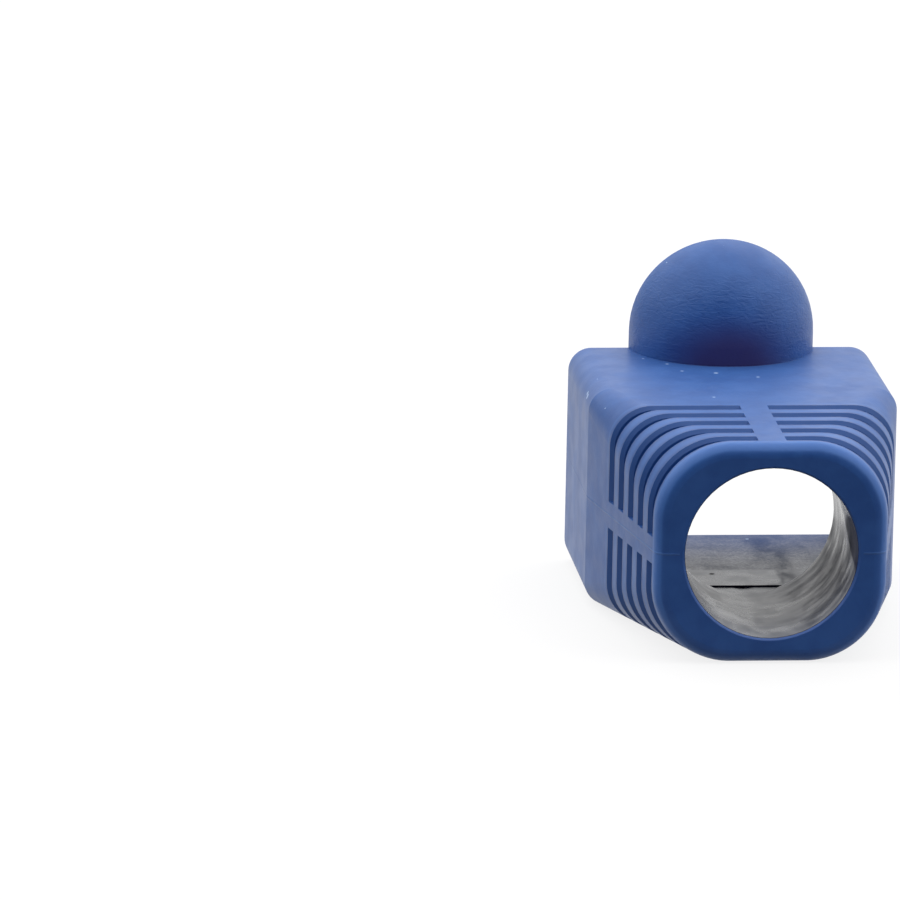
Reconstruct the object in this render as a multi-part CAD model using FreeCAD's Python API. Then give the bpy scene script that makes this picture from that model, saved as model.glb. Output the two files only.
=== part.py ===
import FreeCAD, Part
import os
from math import cos, radians, sin

Vector = FreeCAD.Vector

# A slip-on strain relief boot for a modular cable plug, moulded in one piece
# from soft vinyl. The cable runs along Y: it enters at the nose, at -Y, and the
# plug sits in the open mouth at +Y. The boot rests on its flat underside, with
# the round latch hood on top. The origin is the middle of the underside.
# All sizes are in millimetres.

# The plug that the boot slips over, and the room that it is given
plug_width = 11.68
plug_clearance = 0.09
plug_room_height = 8.2
plug_room_depth = 7.7

# Walls round the plug
side_wall = 1.42
floor_wall = 1.12
roof_wall = 1.18

# The cable and its bore through the nose, which widens where the cable is fed in
cable_diameter = 8.0
cable_clearance = 0.04
bore_length = 9.65
bore_lead_in = 0.32
bore_lead_in_length = 1.25
bore_lead_in_floor_rise = 0.03
bore_rim_chamfer = 0.1

# The narrower room between the plug and the bore, a small step above each of their floors
wire_room_shoulder = 1.2
wire_room_corner = 1.0
wire_room_step = 0.1

# The outside: a square part behind the mouth, then a taper down to the nose
length = 20.4
square_length = 9.05
square_corner = 1.1
mouth_edge_round = 0.35
nose_side_wall = 1.31
nose_floor_wall = 1.22
nose_roof_wall = 1.16
nose_corner = 3.85
nose_edge_round = 0.68

# The flex grooves, cut across the taper and stopped by four spines
groove_count = 5
groove_pitch = 1.55
groove_from_nose = 1.2
groove_width = 0.46
groove_depth = 0.55
groove_lip_chamfer = 0.17
top_spine_width = 1.3
side_spine_width = 1.26

# The hood over the plug's latch
hood_radius = 4.48
hood_post_height = 0.87
hood_edge_round = 0.35
hood_rim_wall = 1.18
hood_back_wall = 0.7
hood_foot_wall = 1.03

# The latch pocket inside the hood, which leans back where it passes the roof
pocket_spring_drop = 0.21
pocket_lean = 0.55
pocket_flat_at_roof = 3.0
pocket_flat_in_hood = 1.4

# How far a cutting solid runs past the face that it opens
run_past = 1.0

# Places closer than this are the same place
same_place = 1e-4

# Sizes that follow from those above
plug_room_width = plug_width + 2 * plug_clearance
body_width = plug_room_width + 2 * side_wall
body_height = floor_wall + plug_room_height + roof_wall
room_ceiling = floor_wall + plug_room_height
bore_radius = cable_diameter / 2 + cable_clearance
wire_room_width = plug_room_width - 2 * wire_room_shoulder
bore_height = nose_floor_wall + bore_radius
nose_width = 2 * (bore_radius + nose_side_wall)
nose_top = bore_height + bore_radius + nose_roof_wall
wire_room_floor = max(floor_wall, nose_floor_wall) + wire_room_step
nose_y = -length / 2
mouth_y = length / 2
crease_y = mouth_y - square_length
plug_room_y = mouth_y - plug_room_depth
bore_end_y = nose_y + bore_length
hood_centre_height = body_height + hood_post_height
pocket_radius = hood_radius - hood_rim_wall
pocket_spring_height = hood_centre_height - pocket_spring_drop
pocket_depth_in_hood = hood_radius - hood_foot_wall
pocket_depth_at_roof = pocket_depth_in_hood + pocket_lean


def chain(points_and_arcs):
    """A closed wire from lines between points, where a middle point makes an arc."""
    edges = []
    for start, middle, end in points_and_arcs:
        if middle is None:
            edges.append(Part.LineSegment(start, end).toShape())
        else:
            edges.append(Part.Arc(start, middle, end).toShape())
    return Part.Wire(edges)


def rounded_section(y, width, low, high, corner):
    """A rounded rectangle across the boot at y, from height low to height high."""
    side = width / 2
    corners = [
        (side - corner, high - corner, 0),
        (-side + corner, high - corner, 90),
        (-side + corner, low + corner, 180),
        (side - corner, low + corner, 270),
    ]

    def on_corner(index, turn):
        x, z, start = corners[index % 4]
        angle = radians(start + turn)
        return Vector(x + corner * cos(angle), y, z + corner * sin(angle))

    pieces = []
    for index in range(4):
        pieces.append((on_corner(index, 0), on_corner(index, 45), on_corner(index, 90)))
        pieces.append((on_corner(index, 90), None, on_corner(index + 1, 0)))
    return chain(pieces)


def pocket_outline(z, depth, flat):
    """The latch pocket from above at height z: open at the mouth, round each side of a flat back."""
    side = pocket_radius
    corner = side - flat / 2
    front = mouth_y + run_past
    back = mouth_y - depth
    bend = corner * (1 - sin(radians(45)))
    left_front = Vector(-side, front, z)
    left_bend = Vector(-side, back + corner, z)
    back_left = Vector(-side + corner, back, z)
    back_right = Vector(side - corner, back, z)
    right_bend = Vector(side, back + corner, z)
    right_front = Vector(side, front, z)
    return chain([
        (left_front, None, left_bend),
        (left_bend, Vector(-side + bend, back + bend, z), back_left),
        (back_left, None, back_right),
        (back_right, Vector(side - bend, back + bend, z), right_bend),
        (right_bend, None, right_front),
        (right_front, None, left_front),
    ])


def edges_on_plane(shape, y):
    """The edges of a shape that lie in the plane across the boot at y."""
    found = []
    for edge in shape.Edges:
        box = edge.BoundBox
        if abs(box.YMin - y) < same_place and abs(box.YMax - y) < same_place:
            found.append(edge)
    return found


def taper_size(y):
    """Width, top height and corner radius of the tapered outside at y."""
    share = (crease_y - y) / (crease_y - nose_y)
    width = body_width + share * (nose_width - body_width)
    top = body_height + share * (nose_top - body_height)
    corner = square_corner + share * (nose_corner - square_corner)
    return width, top, corner


def make_body():
    """The square part and the taper, solid, with rounded outer edges at both ends."""
    crease = rounded_section(crease_y, body_width, 0, body_height, square_corner)
    nose = rounded_section(nose_y, nose_width, 0, nose_top, nose_corner)
    square = Part.Face(crease).extrude(Vector(0, square_length, 0))
    taper = Part.makeLoft([nose, crease], True, True)
    body = square.fuse(taper).removeSplitter()
    body = body.makeFillet(mouth_edge_round, edges_on_plane(body, mouth_y))
    return body.makeFillet(nose_edge_round, edges_on_plane(body, nose_y))


def inset_taper(start, start_inset, end, end_inset):
    """A stretch of the tapered outside, drawn in all round by an inset at each end."""
    sections = []
    for y, inset in ((start, start_inset), (end, end_inset)):
        width, top, corner = taper_size(y)
        sections.append(
            rounded_section(y, width - 2 * inset, inset, top - inset, corner - inset)
        )
    return Part.makeLoft(sections, True, True)


def make_groove(y):
    """The ring cut by one flex groove at y, with chamfered lips, parted by the four spines."""
    start = y - groove_width / 2
    end = y + groove_width / 2
    lip = groove_lip_chamfer
    cores = [
        inset_taper(start - 2 * lip, -lip, start, lip),
        inset_taper(start, groove_depth, end, groove_depth),
        inset_taper(end, lip, end + 2 * lip, -lip),
    ]
    reach = Vector(body_width, groove_width + 4 * lip, 2 * body_height)
    corner = Vector(-reach.x / 2, start - 2 * lip, (body_height - reach.z) / 2)
    ring = Part.makeBox(reach.x, reach.y, reach.z, corner)
    upright_spines = Part.makeBox(
        top_spine_width, reach.y, reach.z, Vector(-top_spine_width / 2, corner.y, corner.z)
    )
    side_spines = Part.makeBox(
        reach.x,
        reach.y,
        side_spine_width,
        Vector(corner.x, corner.y, bore_height - side_spine_width / 2),
    )
    return ring.cut(cores + [upright_spines, side_spines])


def cut_grooves(body):
    """The body with its flex grooves."""
    places = [nose_y + groove_from_nose + index * groove_pitch for index in range(groove_count)]
    return body.cut([make_groove(y) for y in places])


def make_hood():
    """The latch hood: an upright half cylinder under a quarter ball, with a rounded rim at the mouth."""
    centre = Vector(0, mouth_y, hood_centre_height)
    foot = Vector(0, mouth_y, room_ceiling)
    up = Vector(0, 0, 1)
    half_ball = Part.makeSphere(hood_radius, centre, up, 0, 90, 360)
    post = Part.makeCylinder(hood_radius, hood_centre_height - room_ceiling, foot, up)

    inner = hood_radius - hood_edge_round
    rim_x = (inner**2 - hood_edge_round**2) ** 0.5
    edge_centre = centre + Vector(rim_x, -hood_edge_round, 0)
    to_edge = (edge_centre - centre).normalize()
    leaving = (to_edge + Vector(0, 1, 0)).normalize()
    ball_end = centre + to_edge * hood_radius
    outside = centre + to_edge * (hood_radius + run_past)
    behind = centre + Vector(0, -hood_radius - run_past, 0)
    corner = Vector(outside.x, behind.y, centre.z)
    edge_middle = edge_centre + leaving * hood_edge_round
    edge_end = edge_centre + Vector(0, hood_edge_round, 0)
    half = Part.Face(chain([
        (centre, None, behind),
        (behind, None, corner),
        (corner, None, outside),
        (outside, None, ball_end),
        (ball_end, edge_middle, edge_end),
        (edge_end, None, centre),
    ]))
    other_half = half.mirror(centre, Vector(1, 0, 0))
    upper_rim = half.revolve(centre, Vector(0, 1, 0), -180)
    lower_rims = [face.extrude(foot - centre) for face in (half, other_half)]
    rim_form = upper_rim.fuse(lower_rims)
    return half_ball.fuse(post).common(rim_form).removeSplitter()


def make_latch_pocket():
    """The hollow of the hood, down through the roof into the plug room."""
    roof_outline = pocket_outline(room_ceiling, pocket_depth_at_roof, pocket_flat_at_roof)
    hood_outline = pocket_outline(body_height, pocket_depth_in_hood, pocket_flat_in_hood)
    leaning_part = Part.makeLoft([roof_outline, hood_outline], True, True)
    rise = pocket_spring_height + pocket_radius - body_height
    upper = Part.Face(hood_outline).extrude(Vector(0, 0, rise))
    tunnel_back = mouth_y - hood_radius
    tunnel_length = hood_radius + run_past
    vault = Part.makeCylinder(
        pocket_radius,
        tunnel_length,
        Vector(0, tunnel_back, pocket_spring_height),
        Vector(0, 1, 0),
    )
    below_vault = Part.makeBox(
        2 * pocket_radius,
        tunnel_length,
        pocket_spring_height - body_height,
        Vector(-pocket_radius, tunnel_back, body_height),
    )
    ball_radius = hood_radius - hood_back_wall
    ball_centre = Vector(0, mouth_y, hood_centre_height)
    ball = Part.makeSphere(ball_radius, ball_centre)
    post = Part.makeCylinder(
        ball_radius,
        hood_centre_height - body_height,
        Vector(0, mouth_y, body_height),
        Vector(0, 0, 1),
    )
    end_form = ball.fuse(post)
    upper = upper.common(vault.fuse(below_vault)).common(end_form)
    return leaning_part.fuse(upper)


def make_rooms():
    """The plug room, the narrower wire room behind it, and the cable bore."""
    plug_room = Part.makeBox(
        plug_room_width,
        plug_room_depth + run_past,
        plug_room_height,
        Vector(-plug_room_width / 2, plug_room_y, floor_wall),
    )
    wire_room_outline = rounded_section(
        bore_end_y, wire_room_width, wire_room_floor, room_ceiling, wire_room_corner
    )
    wire_room = Part.Face(wire_room_outline).extrude(Vector(0, plug_room_y - bore_end_y, 0))
    bore = Part.makeCylinder(
        bore_radius,
        bore_length + run_past,
        Vector(0, nose_y - run_past, bore_height),
        Vector(0, 1, 0),
    )
    lead_in_y = bore_end_y - bore_lead_in_length
    cone = Part.makeCone(
        bore_radius,
        bore_radius + bore_lead_in,
        bore_lead_in_length,
        Vector(0, lead_in_y, bore_height),
        Vector(0, 1, 0),
    )
    above_floor = Part.makeBox(
        body_width,
        bore_lead_in_length,
        body_height,
        Vector(-body_width / 2, lead_in_y, nose_floor_wall + bore_lead_in_floor_rise),
    )
    return [plug_room, wire_room, bore, cone.common(above_floor)]


def bore_rim(boot):
    """The round edge of the bore on the nose's face."""
    found = []
    for edge in edges_on_plane(boot, nose_y):
        if isinstance(edge.Curve, Part.Circle):
            if abs(edge.Curve.Radius - bore_radius) < same_place:
                found.append(edge)
    return found


def make_boot():
    """The whole boot as one solid."""
    boot = cut_grooves(make_body()).fuse(make_hood())
    boot = boot.cut(make_rooms() + [make_latch_pocket()]).removeSplitter()
    return boot.makeChamfer(bore_rim_chamfer, bore_rim(boot))


os.makedirs("parts", exist_ok=True)
boot = make_boot()
print("boot:", len(boot.Solids), "solid,", "valid" if boot.isValid() else "not valid")
box = boot.optimalBoundingBox(True, False)
print("size %.2f x %.2f x %.2f mm" % (box.XLength, box.YLength, box.ZLength))
print("volume %.1f mm3" % boot.Volume)
boot.exportStep("parts/boot.step")
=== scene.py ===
from math import cos, radians, sin
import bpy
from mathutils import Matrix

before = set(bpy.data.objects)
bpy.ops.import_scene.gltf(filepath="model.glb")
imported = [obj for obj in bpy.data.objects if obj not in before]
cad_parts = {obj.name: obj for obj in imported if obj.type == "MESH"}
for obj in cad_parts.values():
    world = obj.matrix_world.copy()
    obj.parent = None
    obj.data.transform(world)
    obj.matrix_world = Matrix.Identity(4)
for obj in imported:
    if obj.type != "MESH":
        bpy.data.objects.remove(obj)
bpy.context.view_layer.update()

from types import SimpleNamespace

import bpy
from mathutils import Matrix, Vector

# The boot as model.glb holds it, before anything is added
MM = 0.001
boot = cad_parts["boot"]

# Places on the boot are in millimetres, from the middle of its underside. A pair named an edge
# is a soft step: where it starts, and where it is full.
MOUTH_Y = 10.2
NOSE_Y = -10.2
LIP_FINISH_Y = 10.17

# The bore and its widened inner end, each a little larger than the real hole
BORE_HEIGHT = 5.26
BORE_FINISH_RADIUS = 4.06
LEAD_IN_Y = -1.85
LEAD_IN_FINISH_RADIUS = 4.45
BORE_END_Y = -0.55
BORE_FINISH_END_Y = BORE_END_Y + 0.05

# The wire room and the plug room, taken as one box, a little larger than the real rooms
ROOM_START_Y = BORE_END_Y - 0.01
ROOM_MIDDLE_HEIGHT = 5.22
ROOM_HALF_HEIGHT = 4.14
ROOM_HALF_WIDTH = 5.97
PLUG_ROOM_EDGE = (2.1, 3.1)

# The hood and the latch pocket in it
HOOD_CENTRE_HEIGHT = 11.37
HOOD_FINISH_RADIUS = 4.52
POCKET_FLOOR = 9.2
POCKET_FINISH_RADIUS = 4.13

# The parting line, and the band round the nose's face, painted lighter as a highlight
NOSE_FACE_RADIUS = 4.3
PARTING_EDGE = (0.07, 0.01)
PARTING_TINT_END_Y = 0.0
NOSE_BAND_START = (0.05, 0.14)
NOSE_BAND_END = (0.8, 0.6)

# The flex grooves and the ridges between them, with painted shade in the grooves and a painted
# highlight on the ridges' crests
GROOVE_COUNT = 5
GROOVE_FROM_NOSE = 1.2
GROOVE_PITCH = 1.55
TOP_SPINE_EDGE = (0.65, 0.75)
SIDE_SPINE_EDGE = (0.63, 0.73)
GROOVE_SHADE_EDGE = (0.6, 0.36)
CREST_HIGHLIGHT_EDGE = (0.5, 0.74)

# The dull patch inside the rim, also painted darker as shade: an arch that narrows with the
# distance from the nose
PATCH_TAPER = 0.24
PATCH_HEIGHT = 5.65
PATCH_HALF_HEIGHT = 1.25
PATCH_START_X = 2.5
PATCH_EDGE = (1.1, 0.85)

# The duller zone low on the bore's right, and the glossier part of its right wall
LOW_RIGHT_ACROSS = (0.4, 3.0)
LOW_RIGHT_DOWN = (0.6, -1.2)
RIGHT_WALL_ACROSS = (3.0, 4.0)
RIGHT_WALL_ALONG = (-6.5, -4.5)

# The smear on the rooms' floor, and how the plug room changes towards the mouth
SMEAR_X = 2.2
SMEAR_ACROSS = (1.3, 0.2)
SMEAR_DOWN = (1.6, 1.4)
PLUG_ROOM_TINT_ALONG = (4.0, 9.0)
PLUG_ROOM_DULL_ALONG = (6.0, 9.5)

# The lower half of the rim, painted lighter as a highlight, and the flash on the mouth's inner
# edges
RIM_RADIUS = 4.17
RIM_END_Y = NOSE_Y + 0.11
RIM_DOWN = (0.5, -2.5)
FLASH_START_Y = LIP_FINISH_Y - 0.01
FLASH_EDGE = (0.16, 0.02)
FLASH_PATCHES = (0.42, 0.62)

# The foot of the hood, painted dark as shade, which has few wrinkles, as its top has
HOOD_SHADE_HEIGHT = 10.4
HOOD_SHADE_ACROSS = 0.08
HOOD_SHADE_UP = 0.125
HOOD_SHADE_END_Y = 9.0
HOOD_SHADE_EDGE = (1.05, 0.3)
WRINKLE_TOP = (15.3, 14.0)
WRINKLES_AT_TOP = (0.15, 1.0)
WRINKLE_FOOT = (0.2, 0.8)
WRINKLES_AT_FOOT = (1.0, 0.2)

# Specks scattered at random, specks of dust with their radii, and a pit in the wire room's floor
SPECKS_PER_MM = 0.75
SPECK_CHANCE = (0.82, 1.0)
SPECK_SIZE = 0.05
DUST = [
    ((-3.02, 6.32, 10.5), 0.1),
    ((-2.48, 4.82, 10.5), 0.1),
    ((-0.91, 4.37, 10.5), 0.13),
    ((0.99, 3.49, 10.5), 0.1),
    ((-1.64, -0.66, 10.5), 0.09),
    ((-7.28, 2.5, 9.83), 0.17),
    ((-7.26, 2.8, 9.93), 0.14),
    ((1.47, 9.34, 1.12), 0.1),
]
PIT_PLACE = (-1.21, 1.67, 1.32)
PIT_RADIUS = 0.14
SPOT_CORE = 0.6

# How patterns are stretched, by factors on x, y and z, and the spans of noise that are used
WRINKLE_STRETCH = (1.1, 1.1, 3.0)
RING_STRETCH = (0.5, 1.6, 0.5)
BLOTCH_STRETCH = (1.0, 0.6, 1.0)
MIDDLE_OF_NOISE = (0.3, 0.7)
COLOUR_OF_RINGS = (0.35, 0.65)
GLOSS_OF_RINGS = (0.25, 0.75)
LOW_RIGHT_RINGS = (0.3, 0.65)
GLOSS_OF_BLOTCHES = (0.3, 0.75)

# Colours of the vinyl, among them painted shade at the hood's foot, in the grooves and inside the
# rim, and painted highlights round the nose, on the ridges' crests and on the rim
NAVY_DEEP = (0.018, 0.09, 0.325, 1)
NAVY_PALE = (0.027, 0.114, 0.38, 1)
HOOD_SHADE_COLOUR = (0.048, 0.034, 0.135, 1)
NOSE_HIGHLIGHT_COLOUR = (0.055, 0.18, 0.53, 1)
GROOVE_SHADE_COLOUR = (0.008, 0.06, 0.24, 1)
CREST_HIGHLIGHT_COLOUR = (0.045, 0.17, 0.5, 1)
PARTING_COLOUR = (0.1, 0.24, 0.55, 1)
CORE_DEEP = (0.016, 0.02, 0.03, 1)
CORE_PALE = (0.03, 0.035, 0.045, 1)
PLUG_ROOM_COLOUR = (0.02, 0.08, 0.3, 1)
PATCH_SHADE_COLOUR = (0.015, 0.03, 0.11, 1)
RIM_HIGHLIGHT_COLOUR = (0.07, 0.17, 0.5, 1)
FLASH_COLOUR = (0.16, 0.28, 0.6, 1)
SPECK_COLOUR = (0.4, 0.55, 0.8, 1)
PIT_COLOUR = (0.002, 0.002, 0.003, 1)

# Roughness: outside, then inside, where the further ones are added to that of the rings
OUTER_ROUGHNESS = (0.43, 0.5)
RING_ROUGHNESS = (0.19, 0.28)
BLOTCH_ROUGHNESS = (0.0, 0.12)
SAND_ROUGHNESS = (0.04, 0.2)
LOW_RIGHT_ROUGHNESS = (0.05, 0.18)
PATCH_ROUGHNESS = 0.25
PIT_ROUGHNESS = 0.6
PLUG_ROOM_ROUGHNESS = (0.0, 0.12)
RIGHT_WALL_ROUGHNESS = (0.0, -0.05)
SMEAR_ROUGHNESS = (0.05, 0.2)
VINYL_IOR = 1.41
SHEEN_WEIGHT = 0.08
SHEEN_ROUGHNESS = 0.4

# Relief, in millimetres
GRAIN_RELIEF = 0.006
WAVE_RELIEF = 0.006
WRINKLE_RELIEF = 0.028
PARTING_RELIEF = 0.015
RING_RELIEF = 0.0012
SAND_RELIEF = 0.012
PIT_RELIEF = -0.08

# The camera, as it stands before the photographed boot
IMAGE_WIDTH = 900
SENSOR_WIDTH = 36.0
FOCAL_PIXELS = 9800.0
CAMERA_YAW = 5.92
CAMERA_HEIGHT_ANGLE = 13.35
CAMERA_ROLL = 1.13
AIM_POINT = Vector((0, -0.2 * MM, 5.0 * MM))
AIM_PIXEL = (744.2, 508.0)
AIM_DISTANCE = 463.2 * MM
CLIP_START = 0.01
CLIP_END = 20.0

# The floor, in metres: what it gives off, and what it shows in reflections before and behind
FLOOR_SIZE = 8.0
FLOOR_HEIGHT = -0.00002
FLOOR_PAINT = (0.16, 0.16, 0.16, 1)
FLOOR_GLOW = (0.83, 0.83, 0.83, 1)
MIRRORED_BEFORE = (0.05, 0.02, 0.04, 1)
MIRRORED_BEHIND = (0.95, 0.95, 0.95, 1)
MIRRORED_EDGE = (-25 * MM, -6 * MM)
BLACK = (0, 0, 0, 1)
WHITE = (1, 1, 1, 1)

# The studio's light, by directions of length one
BRIGHT_SIDE = Vector((0.15, 1, 0.55)).normalized()
BRIGHT_EDGE = (-0.24, 0.14)
SIDEWAYS_SHARE = 0.2
TENT_RISE = (0.02, 0.72)
TENT_STRENGTH = (1.08, 1.82)
LOW_LEFT_SIDE = (-0.2, -0.6)
LOW_LEFT_HEIGHT = (0.35, 0.05)
LOW_LEFT_LOSS = -0.6
DIM_SIDE_COLOUR = (0.08, 0.035, 0.08, 1)


def make_camera():
    """A long lens that looks down a little on the nose of the boot."""
    yaw = radians(CAMERA_YAW)
    down = radians(CAMERA_HEIGHT_ANGLE)
    roll = radians(CAMERA_ROLL)
    forward = Vector((sin(yaw) * cos(down), cos(yaw) * cos(down), -sin(down)))
    level = Vector((cos(yaw), -sin(yaw), 0))
    upright = level.cross(forward)
    right = cos(roll) * level + sin(roll) * upright
    up = cos(roll) * upright - sin(roll) * level
    across = (AIM_PIXEL[0] - IMAGE_WIDTH / 2) / FOCAL_PIXELS * AIM_DISTANCE
    below = (AIM_PIXEL[1] - IMAGE_WIDTH / 2) / FOCAL_PIXELS * AIM_DISTANCE
    place = AIM_POINT - across * right + below * up - AIM_DISTANCE * forward
    data = bpy.data.cameras.new("camera")
    data.sensor_width = SENSOR_WIDTH
    data.lens = FOCAL_PIXELS * SENSOR_WIDTH / IMAGE_WIDTH
    data.clip_start = CLIP_START
    data.clip_end = CLIP_END
    camera = bpy.data.objects.new("camera", data)
    axes = Matrix((right, up, -forward)).transposed()
    camera.matrix_world = Matrix.Translation(place) @ axes.to_4x4()
    bpy.context.scene.collection.objects.link(camera)
    bpy.context.scene.camera = camera


class Recipe:
    """The nodes of one material or of the studio's light, added a step at a time."""

    def __init__(self, tree):
        self.tree = tree

    def feed(self, socket, value):
        """Set a socket, or join another node's output to it."""
        if isinstance(value, bpy.types.NodeSocket):
            self.tree.links.new(value, socket)
        else:
            socket.default_value = value

    def add(self, kind, inputs, **settings):
        """A new node with its settings made and its inputs fed."""
        node = self.tree.nodes.new(kind)
        for name, value in settings.items():
            setattr(node, name, value)
        for key, value in inputs.items():
            self.feed(node.inputs[key], value)
        return node

    def maths(self, operation, *values):
        """The result of one operation on numbers."""
        node = self.add("ShaderNodeMath", dict(enumerate(values)), operation=operation)
        return node.outputs[0]

    def joined(self, operation, values):
        """The result of an operation taken along a row of numbers."""
        result = values[0]
        for value in values[1:]:
            result = self.maths(operation, result, value)
        return result

    def product(self, *values):
        return self.joined("MULTIPLY", values)

    def largest(self, *values):
        return self.joined("MAXIMUM", values)

    def total(self, *values):
        return self.joined("ADD", values)

    def length(self, *values):
        """The length of a vector, from its parts."""
        return self.maths("SQRT", self.total(*[self.product(value, value) for value in values]))

    def fade(self, value, start, end, low=0.0, high=1.0):
        """A soft step from low to high while value goes from start to end."""
        inputs = {0: value, 1: start, 2: end, 3: low, 4: high}
        node = self.add("ShaderNodeMapRange", inputs, interpolation_type="SMOOTHSTEP")
        return node.outputs[0]

    def pick(self, value, change, below, above):
        """One number while value is below the change and another from there on."""
        later = self.maths("GREATER_THAN", value, change)
        return self.maths("ADD", below, self.product(later, above - below))

    def scaled(self, place, factors):
        """A place with its x, y and z multiplied."""
        node = self.add("ShaderNodeVectorMath", {0: place, 1: factors}, operation="MULTIPLY")
        return node.outputs[0]

    def noise(self, place, per_mm, detail=2.0, roughness=0.5, distortion=0.0):
        """Cloudy noise from 0 to 1, with so many lumps to a millimetre."""
        inputs = {
            "Vector": place,
            "Scale": per_mm,
            "Detail": detail,
            "Roughness": roughness,
            "Distortion": distortion,
        }
        return self.add("ShaderNodeTexNoise", inputs).outputs[0]

    def cells(self, place, per_mm):
        """The distance to the nearest of many scattered points, and a random colour for each."""
        node = self.add("ShaderNodeTexVoronoi", {"Vector": place, "Scale": per_mm})
        return node.outputs["Distance"], node.outputs["Color"]

    def spot(self, place, centre, radius):
        """One within a small radius of a place, and nought elsewhere."""
        node = self.add("ShaderNodeVectorMath", {0: place, 1: centre}, operation="DISTANCE")
        return self.fade(node.outputs["Value"], radius, SPOT_CORE * radius)

    def blend(self, share, first, second):
        """A colour between two others."""
        inputs = {0: share, 6: first, 7: second}
        return self.add("ShaderNodeMix", inputs, data_type="RGBA").outputs[2]


def new_material(name):
    material = bpy.data.materials.new(name)
    material.use_nodes = True
    return material


def find_places(recipe):
    """Where each point of the boot is, and whether the core pins or the outer mould formed it."""
    maths, product = recipe.maths, recipe.product
    coordinates = recipe.add("ShaderNodeTexCoord", {}).outputs["Object"]
    place = recipe.scaled(coordinates, (1 / MM, 1 / MM, 1 / MM))
    x, y, z = recipe.add("ShaderNodeSeparateXYZ", {0: place}).outputs
    at = SimpleNamespace(place=place, x=x, y=y, z=z, side=maths("ABSOLUTE", x))

    at.above_bore = maths("SUBTRACT", z, BORE_HEIGHT)
    at.from_bore = recipe.length(x, at.above_bore)
    bore_finish = recipe.pick(y, LEAD_IN_Y, BORE_FINISH_RADIUS, LEAD_IN_FINISH_RADIUS)
    at.in_bore = product(
        maths("LESS_THAN", at.from_bore, bore_finish), maths("LESS_THAN", y, BORE_FINISH_END_Y)
    )

    at.from_room_middle = maths("ABSOLUTE", maths("SUBTRACT", z, ROOM_MIDDLE_HEIGHT))
    at.in_room = product(
        maths("LESS_THAN", at.side, ROOM_HALF_WIDTH),
        maths("LESS_THAN", at.from_room_middle, ROOM_HALF_HEIGHT),
        maths("GREATER_THAN", y, ROOM_START_Y),
    )

    before_mouth = maths("SUBTRACT", y, MOUTH_Y)
    on_post = recipe.largest(z, HOOD_CENTRE_HEIGHT)
    above_hood_centre = maths("SUBTRACT", on_post, HOOD_CENTRE_HEIGHT)
    from_hood_centre = recipe.length(x, before_mouth, above_hood_centre)
    in_pocket = product(
        maths("LESS_THAN", from_hood_centre, POCKET_FINISH_RADIUS),
        maths("GREATER_THAN", z, POCKET_FLOOR),
    )

    at.inside = product(
        recipe.largest(at.in_bore, at.in_room, in_pocket), maths("LESS_THAN", y, LIP_FINISH_Y)
    )
    at.outside = maths("SUBTRACT", 1.0, at.inside)
    at.in_plug_room = product(at.inside, recipe.fade(y, *PLUG_ROOM_EDGE))
    at.on_hood = product(maths("LESS_THAN", from_hood_centre, HOOD_FINISH_RADIUS), at.outside)
    return at


def find_lines(recipe, at):
    """The parting line, the painted highlight round the nose, and the painted shade of the grooves
    and painted highlight of the ridges between the spines.
    """
    maths, product, fade = recipe.maths, recipe.product, recipe.fade
    from_parting = maths("ABSOLUTE", at.above_bore)
    from_nose = maths("SUBTRACT", at.y, NOSE_Y)
    past_rim = maths("GREATER_THAN", at.from_bore, NOSE_FACE_RADIUS)
    groove_place = maths("DIVIDE", maths("SUBTRACT", from_nose, GROOVE_FROM_NOSE), GROOVE_PITCH)
    to_groove = maths("SUBTRACT", groove_place, maths("ROUND", groove_place))
    from_groove = product(maths("ABSOLUTE", to_groove), GROOVE_PITCH)
    between_spines = product(
        maths("GREATER_THAN", groove_place, -0.5),
        maths("LESS_THAN", groove_place, GROOVE_COUNT - 0.5),
        fade(at.side, *TOP_SPINE_EDGE),
        fade(from_parting, *SIDE_SPINE_EDGE),
        at.outside,
    )
    return SimpleNamespace(
        parting=product(fade(from_parting, *PARTING_EDGE), past_rim),
        # Painted highlight on the rounded edge round the nose's face
        nose_highlight=product(
            fade(from_nose, *NOSE_BAND_START), fade(from_nose, *NOSE_BAND_END), past_rim
        ),
        # Painted shade in the grooves, and a painted highlight on the ridges' crests
        groove_shade=product(fade(from_groove, *GROOVE_SHADE_EDGE), between_spines),
        crest_highlight=product(fade(from_groove, *CREST_HIGHLIGHT_EDGE), between_spines),
    )


def find_specks(recipe, at):
    """Specks scattered at random over the outside, and those of dust at their places."""
    distance, colour = recipe.cells(at.place, SPECKS_PER_MM)
    chance = recipe.add("ShaderNodeSeparateColor", {0: colour}).outputs[0]
    size = recipe.product(recipe.fade(chance, *SPECK_CHANCE), SPECK_SIZE)
    specks = recipe.product(recipe.maths("LESS_THAN", distance, size), at.outside)
    for dust_place, dust_radius in DUST:
        specks = recipe.largest(specks, recipe.spot(at.place, dust_place, dust_radius))
    return specks


def find_patterns(recipe, at):
    """The grain and unevenness of the vinyl, outside and inside."""
    noise = recipe.noise
    place = at.place
    along_wrinkles = recipe.scaled(place, WRINKLE_STRETCH)
    along_rings = recipe.scaled(place, RING_STRETCH)
    along_blotches = recipe.scaled(place, BLOTCH_STRETCH)
    return SimpleNamespace(
        grain=noise(place, per_mm=5.5, detail=3.0, roughness=0.6),
        waves=noise(place, per_mm=0.9),
        wrinkles=noise(along_wrinkles, per_mm=1.9, detail=2.5, distortion=1.0),
        clouds=noise(place, per_mm=0.55, detail=3.0, roughness=0.6),
        sand=noise(place, per_mm=6.5, detail=3.0, roughness=0.7),
        rings=noise(along_rings, per_mm=1.0, detail=3.0),
        blotches=noise(along_blotches, per_mm=0.8, detail=3.0, distortion=0.6),
        specks=find_specks(recipe, at),
        pit=recipe.spot(place, PIT_PLACE, PIT_RADIUS),
    )


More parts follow.
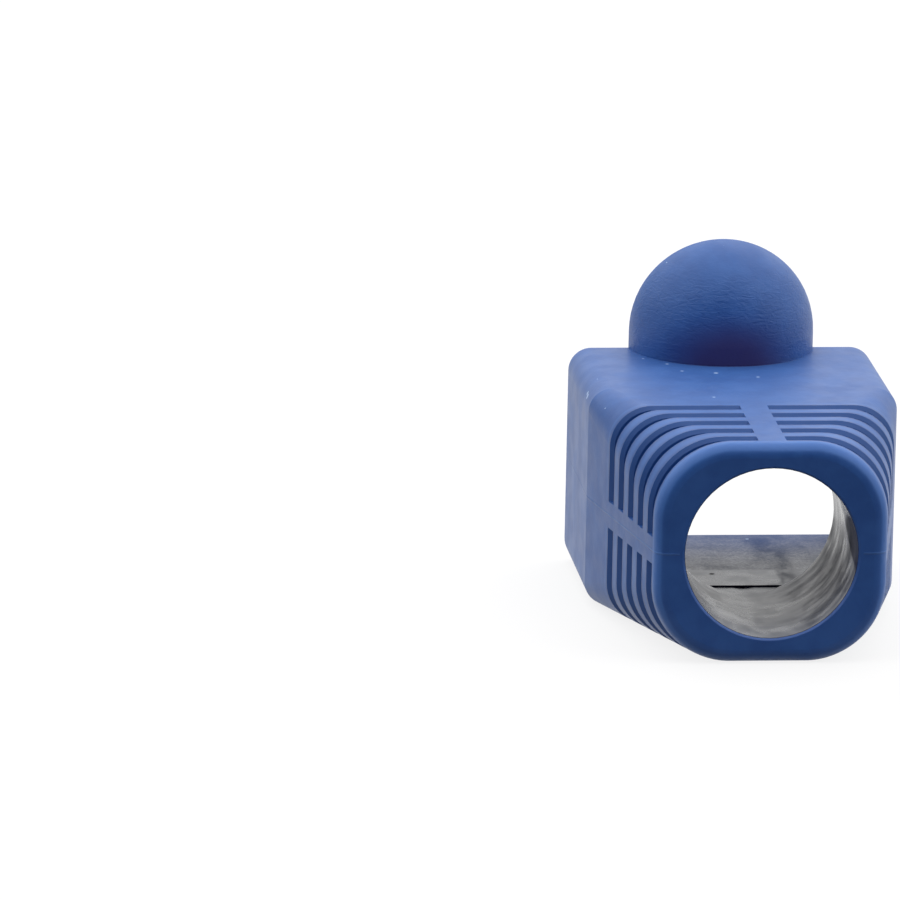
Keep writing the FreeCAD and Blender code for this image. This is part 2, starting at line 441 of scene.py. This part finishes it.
def find_marks(recipe, at, pattern):
    """Duller and lighter places inside, one of them painted darker as shade, the rim's lower half
    painted lighter as a highlight, the flash, and the painted shade at the hood's foot.
    """
    maths, product, fade = recipe.maths, recipe.product, recipe.fade
    mark = SimpleNamespace()

    along = maths("MULTIPLY_ADD", at.y, PATCH_TAPER, -PATCH_TAPER * NOSE_Y)
    across = maths("DIVIDE", maths("SUBTRACT", at.z, PATCH_HEIGHT), PATCH_HALF_HEIGHT)
    # Rougher, and painted darker as shade, on the right wall inside the rim
    mark.patch = product(
        at.in_bore,
        maths("GREATER_THAN", at.x, PATCH_START_X),
        fade(maths("ADD", along, product(across, across)), *PATCH_EDGE),
    )
    mark.low_right = product(
        at.in_bore, fade(at.x, *LOW_RIGHT_ACROSS), fade(at.above_bore, *LOW_RIGHT_DOWN)
    )
    from_smear = maths("ABSOLUTE", maths("SUBTRACT", at.x, SMEAR_X))
    mark.smear = product(at.in_room, fade(from_smear, *SMEAR_ACROSS), fade(at.z, *SMEAR_DOWN))

    # Painted highlight along the lower half of the rim
    mark.rim = product(
        maths("LESS_THAN", at.from_bore, RIM_RADIUS),
        maths("LESS_THAN", at.y, RIM_END_Y),
        at.outside,
        fade(at.above_bore, *RIM_DOWN),
    )
    past_room = recipe.largest(
        maths("SUBTRACT", at.side, ROOM_HALF_WIDTH),
        maths("SUBTRACT", at.from_room_middle, ROOM_HALF_HEIGHT),
    )
    mark.flash = product(
        at.outside,
        maths("GREATER_THAN", at.y, FLASH_START_Y),
        fade(past_room, *FLASH_EDGE),
        fade(pattern.sand, *FLASH_PATCHES),
    )

    above_foot = maths("SUBTRACT", at.z, HOOD_SHADE_HEIGHT)
    from_foot = maths("SQRT", maths(
        "ADD",
        product(at.x, at.x, HOOD_SHADE_ACROSS),
        product(above_foot, above_foot, HOOD_SHADE_UP),
    ))
    # Painted shade at the front foot of the hood
    mark.hood_shade = product(
        at.on_hood, maths("LESS_THAN", at.y, HOOD_SHADE_END_Y), fade(from_foot, *HOOD_SHADE_EDGE)
    )
    mark.wrinkled = product(
        fade(at.z, *WRINKLE_TOP, *WRINKLES_AT_TOP),
        fade(mark.hood_shade, *WRINKLE_FOOT, *WRINKLES_AT_FOOT),
    )
    return mark


def mix_colour(recipe, at, line, pattern, mark):
    """Navy in two shades, near black inside, with each mark laid over what is under it."""
    product, fade = recipe.product, recipe.fade
    core_colour = recipe.blend(fade(pattern.rings, *COLOUR_OF_RINGS), CORE_DEEP, CORE_PALE)
    tinted_parting = product(
        line.parting, at.outside, recipe.maths("LESS_THAN", at.y, PARTING_TINT_END_Y)
    )
    tinted_room = product(at.in_plug_room, fade(at.y, *PLUG_ROOM_TINT_ALONG))
    layers = [
        # Painted shade at the front foot of the hood
        (mark.hood_shade, 0.85, HOOD_SHADE_COLOUR),
        # Painted highlight on the rounded edge round the nose's face
        (line.nose_highlight, 0.6, NOSE_HIGHLIGHT_COLOUR),
        # Painted shade in the grooves, and a painted highlight on the ridges' crests
        (line.groove_shade, 0.6, GROOVE_SHADE_COLOUR),
        (line.crest_highlight, 0.3, CREST_HIGHLIGHT_COLOUR),
        (tinted_parting, 0.25, PARTING_COLOUR),
        (at.inside, 0.85, core_colour),
        (tinted_room, 0.6, PLUG_ROOM_COLOUR),
        # Painted shade on the rougher place inside the rim
        (mark.patch, 0.7, PATCH_SHADE_COLOUR),
        # Painted highlight along the lower half of the rim
        (mark.rim, 1.0, RIM_HIGHLIGHT_COLOUR),
        (mark.flash, 0.5, FLASH_COLOUR),
        (pattern.specks, 0.85, SPECK_COLOUR),
        (pattern.pit, 1.0, PIT_COLOUR),
    ]
    colour = recipe.blend(fade(pattern.clouds, *MIDDLE_OF_NOISE), NAVY_DEEP, NAVY_PALE)
    for where, share, layer_colour in layers:
        colour = recipe.blend(product(where, share), colour, layer_colour)
    return colour


def mix_roughness(recipe, at, pattern, mark):
    """Matt outside, and glossier inside, apart from the dull marks there."""
    product, fade = recipe.product, recipe.fade
    outer = fade(pattern.waves, *MIDDLE_OF_NOISE, *OUTER_ROUGHNESS)
    core = recipe.total(
        fade(pattern.rings, *GLOSS_OF_RINGS, *RING_ROUGHNESS),
        fade(pattern.blotches, *GLOSS_OF_BLOTCHES, *BLOTCH_ROUGHNESS),
        product(at.in_plug_room, fade(pattern.sand, *MIDDLE_OF_NOISE, *SAND_ROUGHNESS)),
        product(mark.low_right, fade(pattern.rings, *LOW_RIGHT_RINGS, *LOW_RIGHT_ROUGHNESS)),
        product(mark.patch, PATCH_ROUGHNESS),
        product(pattern.pit, PIT_ROUGHNESS),
        product(at.in_plug_room, fade(at.y, *PLUG_ROOM_DULL_ALONG, *PLUG_ROOM_ROUGHNESS)),
        product(
            at.in_bore,
            fade(at.x, *RIGHT_WALL_ACROSS),
            fade(at.y, *RIGHT_WALL_ALONG, *RIGHT_WALL_ROUGHNESS),
        ),
        product(mark.smear, fade(pattern.blotches, *MIDDLE_OF_NOISE, *SMEAR_ROUGHNESS)),
    )
    return recipe.total(product(at.outside, outer), product(at.inside, core))


def mix_relief(recipe, at, line, pattern, mark):
    """Grain, waves, the hood's wrinkles and the parting line outside; rings and sand inside."""
    product = recipe.product
    outer = recipe.total(
        product(pattern.grain, GRAIN_RELIEF),
        product(pattern.waves, WAVE_RELIEF),
        product(at.on_hood, mark.wrinkled, pattern.wrinkles, WRINKLE_RELIEF),
        product(line.parting, PARTING_RELIEF),
    )
    core = recipe.total(
        product(pattern.rings, RING_RELIEF),
        product(at.in_plug_room, pattern.sand, SAND_RELIEF),
        product(pattern.pit, PIT_RELIEF),
    )
    return recipe.total(product(at.outside, outer), product(at.inside, core))


def make_vinyl():
    """Soft navy vinyl: matt and finely grained outside, glossier where the core pins formed it."""
    material = new_material("boot_vinyl")
    recipe = Recipe(material.node_tree)
    shader = material.node_tree.nodes["Principled BSDF"]
    at = find_places(recipe)
    line = find_lines(recipe, at)
    pattern = find_patterns(recipe, at)
    mark = find_marks(recipe, at, pattern)

    colour = mix_colour(recipe, at, line, pattern, mark)
    recipe.feed(shader.inputs["Base Color"], colour)
    recipe.feed(shader.inputs["Roughness"], mix_roughness(recipe, at, pattern, mark))
    shader.inputs["IOR"].default_value = VINYL_IOR
    shader.inputs["Sheen Weight"].default_value = SHEEN_WEIGHT
    shader.inputs["Sheen Roughness"].default_value = SHEEN_ROUGHNESS

    relief = mix_relief(recipe, at, line, pattern, mark)
    bump = recipe.add("ShaderNodeBump", {"Strength": 1.0, "Distance": MM, "Height": relief})
    recipe.feed(shader.inputs["Normal"], bump.outputs[0])
    return material


def make_floor():
    """A plain white floor that keeps a faint shadow, and is dark before the boot in reflections."""
    bpy.ops.mesh.primitive_plane_add(size=FLOOR_SIZE, location=(0, 0, FLOOR_HEIGHT))
    floor = bpy.context.object
    floor.name = "floor"
    material = new_material("floor_white")
    tree = material.node_tree
    tree.nodes.remove(tree.nodes["Principled BSDF"])
    recipe = Recipe(tree)
    rays = recipe.add("ShaderNodeLightPath", {}).outputs
    place = recipe.add("ShaderNodeTexCoord", {}).outputs["Object"]
    y = recipe.add("ShaderNodeSeparateXYZ", {0: place}).outputs[1]
    mirrored = recipe.blend(recipe.fade(y, *MIRRORED_EDGE), MIRRORED_BEFORE, MIRRORED_BEHIND)
    mirrored = recipe.blend(rays["Is Glossy Ray"], BLACK, mirrored)
    seen = recipe.largest(rays["Is Camera Ray"], rays["Is Transmission Ray"])
    glow_colour = recipe.blend(seen, mirrored, FLOOR_GLOW)
    paint = recipe.add("ShaderNodeBsdfDiffuse", {"Color": FLOOR_PAINT})
    glow = recipe.add("ShaderNodeEmission", {"Color": glow_colour, "Strength": 1.0})
    both = recipe.add("ShaderNodeAddShader", {0: paint.outputs[0], 1: glow.outputs[0]})
    recipe.feed(tree.nodes["Material Output"].inputs["Surface"], both.outputs[0])
    floor.data.materials.append(material)


def make_studio_light():
    """Soft white light from above, behind and both sides, dim and violet from the camera's."""
    world = bpy.data.worlds.new("studio")
    bpy.context.scene.world = world
    world.use_nodes = True
    recipe = Recipe(world.node_tree)
    direction = recipe.add("ShaderNodeTexCoord", {}).outputs["Generated"]
    facing = recipe.add(
        "ShaderNodeVectorMath", {0: direction, 1: BRIGHT_SIDE}, operation="DOT_PRODUCT"
    )
    x, _, z = recipe.add("ShaderNodeSeparateXYZ", {0: direction}).outputs
    tent = recipe.fade(z, *TENT_RISE, *TENT_STRENGTH)
    low_left = recipe.product(recipe.fade(x, *LOW_LEFT_SIDE), recipe.fade(z, *LOW_LEFT_HEIGHT))
    tent = recipe.product(tent, recipe.maths("MULTIPLY_ADD", low_left, LOW_LEFT_LOSS, 1.0))
    sideways = recipe.maths("ABSOLUTE", x)
    turned = recipe.maths("MULTIPLY_ADD", sideways, SIDEWAYS_SHARE, facing.outputs["Value"])
    light = recipe.blend(recipe.fade(turned, *BRIGHT_EDGE), DIM_SIDE_COLOUR, tent)
    rays = recipe.add("ShaderNodeLightPath", {}).outputs
    shown = recipe.blend(rays["Is Camera Ray"], light, WHITE)
    recipe.feed(world.node_tree.nodes["Background"].inputs["Color"], shown)


make_camera()
make_floor()
make_studio_light()
vinyl = make_vinyl()
for slot in boot.material_slots:
    slot.material = vinyl

bpy.context.scene.view_settings.view_transform = "Standard"
